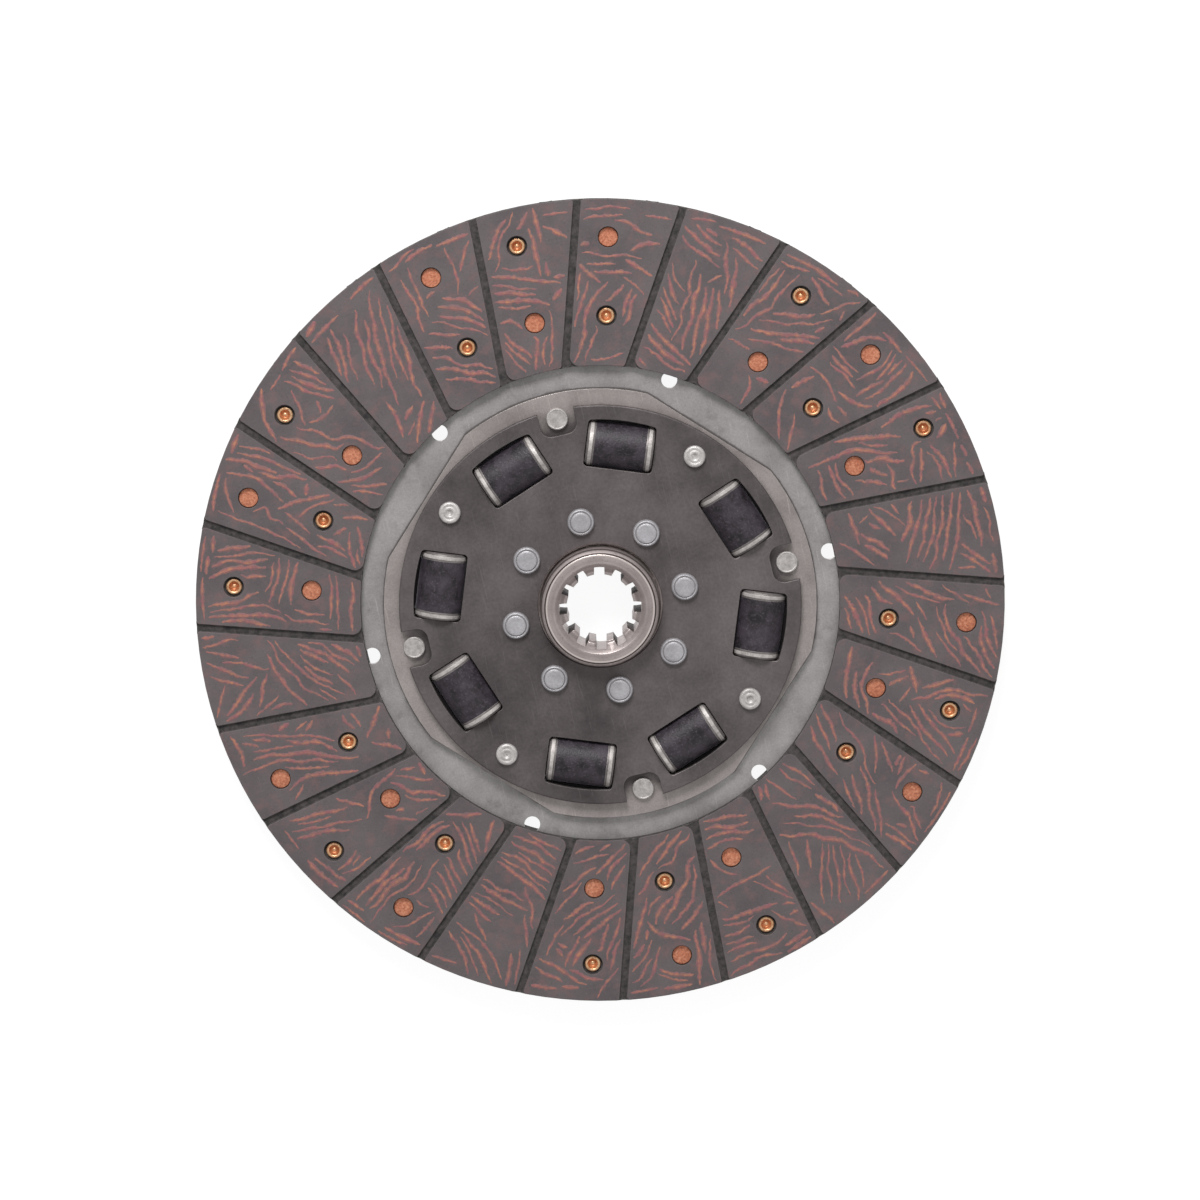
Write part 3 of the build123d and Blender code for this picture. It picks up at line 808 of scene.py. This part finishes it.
seat_depth = 2.4
rivet_seat = facing_top / MM - seat_depth
mouth_inner = 1.0 * MM
mouth_outer = 2.05 * MM
copper_head = [(0, 0.8), (3.7, 0.8), (3.95, 0.6), (3.95, 0), (2.5, 0)]
rolled_end = [
    (2.5, 0), (3.1, 0), (3.3, -0.3), (3.2, -0.65), (2.9, -0.87), (2.5, -0.9), (2.15, -0.75),
    (1.9, -0.4), (1.55, 0.1), (1.35, 0.6), (0.95, 0.75), (0.6, 0.45), (0, 0.35),
]
copper_materials = [
    copper_material("copper_head", tone(200, 122, 92), tone(226, 152, 120), 0.55, 0.5),
    copper_material("copper_rolled_end", tone(236, 170, 120), tone(252, 214, 170), 0.38, 0.7),
    # The mouth of each rolled end gets darker copper: tarnish and painted shade in the hollow.
    copper_material("copper_mouth_tarnish_and_shade", tone(176, 104, 64), tone(222, 148, 98), 0.45, 0.5),
]
for side, sign, points in (("front", 1, head_in_front), ("rear", -1, head_behind)):
    profile = outline_at(copper_head, rivet_seat) + outline_at(rolled_end, -rivet_seat)
    one_rivet = turned_shape(profile, steps=28)
    for face in one_rivet.faces:
        middle = face.calc_center_median()
        in_mouth = mouth_inner < middle.xy.length < mouth_outer
        if middle.z < 0:
            face.material_index = 2 if in_mouth else 1
    places = [Matrix.Translation((x, y, 0)) @ Matrix.Diagonal((1, sign, sign, 1)) for x, y in points]
    finish_piece(
        set_down(one_rivet, places), f"{side}_headed_copper_rivets", copper_materials,
        "rim_side", f"facing_rivets_{side}",
    )


# Drive rivets: four soft steel rivets that hold the carrier's ears to the drive plate.
# Their flat heads are pressed down hard, which leaves a low rim round each and a matt top.

def ring_of_places(circle, count, first_angle=0):
    """Even places on a circle about the disc's axis, from an angle in degrees."""
    angles = [radians(first_angle + 360 / count * number) for number in range(count)]
    return [Matrix.Translation((*polar(circle, angle), 0)) for angle in angles]


pressed_rivet_material = steel_material(
    "pressed_rivet_steel", tone(160, 155, 153), tone(212, 207, 205), tone(240, 236, 233), 0.5, 0.5,
    stain_scale=420.0, grain_scale=1100.0, scratch=0.1, relief=0.08 * MM,
)
carrier_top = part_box("carrier_plate")[1].z / MM
drive_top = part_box("drive_plate")[1].z / MM
drive_rivet_circle = 76.8 * MM
round_tail = [(0, 1.9), (4.0, 1.9), (4.4, 1.5), (4.4, 0), (2.75, 0)]
pressed_head = [(2.75, 0), (4.4, 0), (4.4, 1.45), (4.12, 1.86), (3.85, 1.9), (3.5, 1.72), (0, 1.68)]
drive_rivet = turned_shape(
    outline_at(round_tail, -carrier_top, -1) + outline_at(pressed_head, drive_top), steps=40
)
break_edges(drive_rivet, width=0.12 * MM, least_angle=25.0)
finish_piece(
    set_down(drive_rivet, ring_of_places(drive_rivet_circle, 4)), "flat_drive_rivets",
    [pressed_rivet_material], "rim_side", "drive_rivets",
)


# Dampers: barrels of black moulded rubber with a pressed steel cap bonded to each end.
# They lie in the windows and let the hub give a little. At the twist's limits the rubber
# is squeezed, and its caps slide inwards by what the windows pass each other.

damper_centre_radius = 64.4 * MM
pair_half_angle = 20
damper_angles = [radians(90 * pair + side * pair_half_angle) for pair in range(4) for side in (-1, 1)]
damper_height = (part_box("front_side_plate")[1].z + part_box("rear_side_plate")[0].z) / 2

# The profiles swell to a hair over the solids' radius, so that no light shows between them and the windows.

rubber_end = 10.3
cap_end = 13.4
rubber_profile = [
    (0, -rubber_end), (9.38, -rubber_end), (9.42, -rubber_end + 0.3), (9.44, -7.0), (9.44, 7.0),
    (9.42, rubber_end - 0.3), (9.38, rubber_end), (0, rubber_end),
]
crest_start = rubber_end + 0.8
crest_end = rubber_end + 2.2
cap_profile = [
    (0, rubber_end), (9.36, rubber_end), (9.4, rubber_end + 0.15), (9.42, rubber_end + 0.5),
    (9.43, crest_start), (9.44, (crest_start + crest_end) / 2), (9.4, crest_end),
    (9.24, cap_end - 0.5), (8.98, cap_end - 0.15), (8.7, cap_end), (0, cap_end),
]


def rubber_material():
    """Black moulded rubber: a soft violet sheen with a bloom and fine dust."""
    material, tree, shader = new_material("damper_rubber", 0.42, 0.0)
    place = object_place(tree)
    bloom = noise(tree, place, 150.0, 6.0, 0.75)
    grain = noise(tree, place, 1200.0, 3.0)
    base = blend_tones(tree, steps_between(tree, bloom, 0.36, 0.64), tone(20, 16, 21), tone(66, 58, 67))
    dust = steps_between(tree, grain, 0.58, 0.72, 0.0, 0.35)
    base = blend_tones(tree, dust, base, tone(104, 98, 104))
    tree.links.new(base, shader.inputs["Base Color"])
    tree.links.new(steps_between(tree, bloom, 0.3, 0.7, 0.42, 0.62), shader.inputs["Roughness"])
    raise_surface(tree, shader, arithmetic(tree, "ADD", bloom, grain), 0.12 * MM)
    shader.inputs["Sheen Weight"].default_value = 0.36
    shader.inputs["Sheen Roughness"].default_value = 0.35
    shader.inputs["Sheen Tint"].default_value = tone(206, 198, 210)
    return material


damper_rubber_material = rubber_material()
# Cap steel: the flanks are darker as painted shade, and the crest brighter as wear and a painted highlight.
cap_materials = [
    steel_material(
        "cap_steel", tone(98, 93, 92), tone(146, 140, 138), tone(180, 174, 171), 0.5, 0.5,
        stain_scale=150.0, scratch=0.3, relief=0.05 * MM,
    ),
    steel_material(
        "worn_highlit_cap_steel", tone(158, 152, 149), tone(222, 216, 212), tone(244, 240, 236), 0.52, 0.35,
        stain_scale=320.0, scratch=0.1, relief=0.05 * MM,
    ),
]
for number, angle in enumerate(damper_angles, start=1):
    along = Vector((-sin(angle), cos(angle), 0))
    outwards = Vector((cos(angle), sin(angle), 0))
    middle = outwards * damper_centre_radius + Vector((0, 0, damper_height))
    turn = Matrix((outwards, Vector((0, 0, -1)), along)).transposed().to_4x4()
    place = Matrix.Translation(middle) @ turn
    barrel = finish_piece(
        set_down(turned_shape(rubber_profile, steps=64), [place]), f"damper_{number}_barrel",
        [damper_rubber_material], "rim_side", f"damper_{number}_rubber",
    )
    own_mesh(barrel)
    for end, sign in (("a", -1), ("b", 1)):
        cap_shape = turned_shape(cap_profile, steps=64)
        for face in cap_shape.faces:
            on_crest = crest_start * MM < face.calc_center_median().z < crest_end * MM
            face.material_index = int(on_crest)
        cap = finish_piece(
            set_down(cap_shape, [place @ Matrix.Diagonal((sign, 1, sign, 1))]),
            f"damper_{number}_pressed_cap_{end}", cap_materials,
            "rim_side", f"damper_{number}_cap_{end}",
        )
        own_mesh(cap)


# Stop pins: shouldered steel pins that tie the side plates together and limit the twist.
# Their ends are riveted over, and the front ones carry the punch mark of the centring tool.

plate_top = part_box("front_side_plate")[1].z / MM
plate_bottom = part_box("rear_side_plate")[0].z / MM
plate_thickness = 3.0
stop_pin_circle = 71.0 * MM
mark_reach = 1.2 * MM
pin_shoulder = [(3.0, 0), (3.0, plate_thickness), (4.0, plate_thickness)]
plain_end = [(0, 2.0), (3.85, 2.0), (4.35, 1.5), (4.35, 0)]
punched_end = [
    (4.35, 0), (4.35, 1.35), (4.1, 1.75), (3.6, 1.97), (3.05, 1.93), (2.75, 1.76), (2.5, 1.75),
    (2.2, 1.93), (1.8, 2.0), (1.35, 1.9), (1.0, 1.5), (0.4, 1.3), (0, 1.34),
]
stop_pin_profile = (
    outline_at(plain_end, plate_bottom, -1)
    + outline_at(pin_shoulder, plate_bottom)
    + outline_at(reversed(pin_shoulder), plate_top, -1)
    + outline_at(punched_end, plate_top)
)
# The punch mark gets darker steel: grime and painted shade in its hollow.
pin_materials = [
    steel_material(
        "pin_steel", tone(178, 174, 172), tone(224, 220, 218), tone(246, 243, 240), 0.48, 0.5,
        stain_scale=260.0, grain_scale=1100.0, scratch=0.1, relief=0.06 * MM,
    ),
    steel_material(
        "punch_mark", tone(136, 132, 130), tone(214, 210, 208), tone(230, 227, 225), 0.5, 0.3,
        stain_scale=600.0,
    ),
]
stop_pin = turned_shape(stop_pin_profile, steps=40)
for face in stop_pin.faces:
    face.material_index = int(face.calc_center_median().xy.length < mark_reach)
finish_piece(
    set_down(stop_pin, ring_of_places(stop_pin_circle, 4, first_angle=45)), "riveted_stop_pins",
    pin_materials, "hub_side", "stop_pins",
)


# Hub rivets: eight steel rivets through the side plates and the hub flange.
# The setting tool leaves a round crown with a ring about it on each head.

hub_rivet_circle = 34.7 * MM
crown_radius = 4.0
ring_radius = 4.45
crowned_head = [
    (0, 2.55), (3.0, 2.58), (3.75, 2.54), (crown_radius, 2.38), (4.12, 2.1), (4.3, 2.08),
    (ring_radius, 2.26), (4.7, 2.3), (4.95, 2.2), (5.25, 1.8), (5.4, 1.2), (5.4, 0), (3.5, 0),
]
hub_rivet_profile = (
    outline_at(crowned_head, plate_top) + outline_at(reversed(crowned_head), plate_bottom, -1)
)
# The ring round each crown gets darker steel: grime and painted shade in the groove.
hub_rivet_materials = [
    steel_material(
        "hub_rivet_steel", tone(164, 162, 165), tone(196, 194, 198), tone(236, 235, 238), 0.48, 0.5,
        stain_scale=170.0, grain_scale=1100.0, scratch=0.1, relief=0.06 * MM,
    ),
    steel_material("ring_grime_and_shade", tone(118, 115, 116), tone(152, 149, 150), tone(174, 171, 172), 0.6, 0.4),
]
hub_rivet = turned_shape(hub_rivet_profile, steps=44)
for face in hub_rivet.faces:
    in_ring = crown_radius * MM < face.calc_center_median().xy.length < ring_radius * MM
    face.material_index = int(in_ring)
finish_piece(
    set_down(hub_rivet, ring_of_places(hub_rivet_circle, 8)), "crowned_hub_rivets",
    hub_rivet_materials, "hub_side", "hub_rivets",
)


# Floor: plain white card under the disc. The camera and the metal see it bright,
# and it still takes the soft shadow of the disc.

card_half_width = 6.0
card_glow = 0.915


def card_material():
    """White card that keeps part of its brightness in the shade."""
    material = bpy.data.materials.new("white_card")
    material.use_nodes = True
    tree = material.node_tree
    tree.nodes.remove(tree.nodes["Principled BSDF"])
    path = add_node(tree, "LightPath").outputs
    seen = arithmetic(tree, "MAXIMUM", path["Is Camera Ray"], path["Is Glossy Ray"])
    seen = arithmetic(tree, "MAXIMUM", seen, path["Is Transmission Ray"])
    plain = add_node(tree, "BsdfDiffuse", {"Color": (0.8, 0.8, 0.8, 1.0)})
    shaded = add_node(tree, "BsdfDiffuse", {"Color": (0.18, 0.18, 0.18, 1.0)})
    bright = add_node(tree, "Emission", {"Color": (1.0, 1.0, 1.0, 1.0), "Strength": card_glow})
    card = add_node(tree, "AddShader", {0: shaded.outputs[0], 1: bright.outputs[0]})
    mixed = add_node(tree, "MixShader", {0: seen, 1: plain.outputs[0], 2: card.outputs[0]})
    tree.links.new(mixed.outputs[0], tree.nodes["Material Output"].inputs["Surface"])
    return material


floor_shape = bmesh.new()
bmesh.ops.create_grid(floor_shape, x_segments=1, y_segments=1, size=card_half_width)
bmesh.ops.translate(floor_shape, verts=floor_shape.verts, vec=(0, 0, cad_box[0][2]))
floor_mesh = bpy.data.meshes.new("floor_card")
floor_shape.to_mesh(floor_mesh)
floor_shape.free()
floor_mesh.materials.append(card_material())
floor_card = bpy.data.objects.new("floor_card", floor_mesh)
bpy.context.scene.collection.objects.link(floor_card)


# Camera: above the disc and a little towards the top of the picture, with a long lens.
# The picture's upward direction lies 77 degrees round from the X axis.

picture_up = radians(77)
camera_tilt = radians(7.4)
camera_distance = 1.692
pixels_per_metre = 2483.0
picture_pixels = 1200
centre_pixel = (600.3, 603.4)

up_direction = Vector((cos(picture_up), sin(picture_up), 0))
right_direction = Vector((sin(picture_up), -cos(picture_up), 0))
aim = (
    right_direction * (picture_pixels / 2 - centre_pixel[0]) / pixels_per_metre
    + up_direction * (centre_pixel[1] - picture_pixels / 2) / (pixels_per_metre * cos(camera_tilt))
)
back = up_direction * sin(camera_tilt) + Vector((0, 0, cos(camera_tilt)))
camera_turn = Matrix((right_direction, back.cross(right_direction), back)).transposed().to_4x4()
lens = bpy.data.cameras.new("camera")
lens.sensor_width = 36.0
lens.lens = lens.sensor_width * pixels_per_metre * camera_distance / picture_pixels
lens.clip_end = 20.0
camera = bpy.data.objects.new("camera", lens)
camera.matrix_world = Matrix.Translation(aim + back * camera_distance) @ camera_turn
bpy.context.scene.collection.objects.link(camera)
bpy.context.scene.camera = camera


# Light: an even white surround, a broad soft lamp from the top of the picture and a weak one
# from the bottom, so that each raised rivet drops a soft shadow towards the bottom.

key_place = up_direction * 1.3 - right_direction * 0.25 + Vector((0, 0, 1.2))
fill_place = up_direction * -1.2 + right_direction * 0.9 + Vector((0, 0, 1.4))
surround_strength = 0.42


def soft_lamp(name, place, size, power):
    """A square soft lamp that points at the disc."""
    light = bpy.data.lights.new(name, "AREA")
    light.shape = "SQUARE"
    light.size = size
    light.energy = power
    lamp = bpy.data.objects.new(name, light)
    lamp.location = place
    lamp.rotation_euler = (-place).to_track_quat("-Z", "Y").to_euler()
    bpy.context.scene.collection.objects.link(lamp)


soft_lamp("key_lamp", key_place, size=0.6, power=25.0)
soft_lamp("fill_lamp", fill_place, size=1.4, power=4.0)

surround = bpy.data.worlds.new("surround")
surround.use_nodes = True
background = surround.node_tree.nodes["Background"].inputs
background["Color"].default_value = (1.0, 1.0, 1.0, 1.0)
background["Strength"].default_value = surround_strength
bpy.context.scene.world = surround
bpy.context.scene.view_settings.view_transform = "Standard"
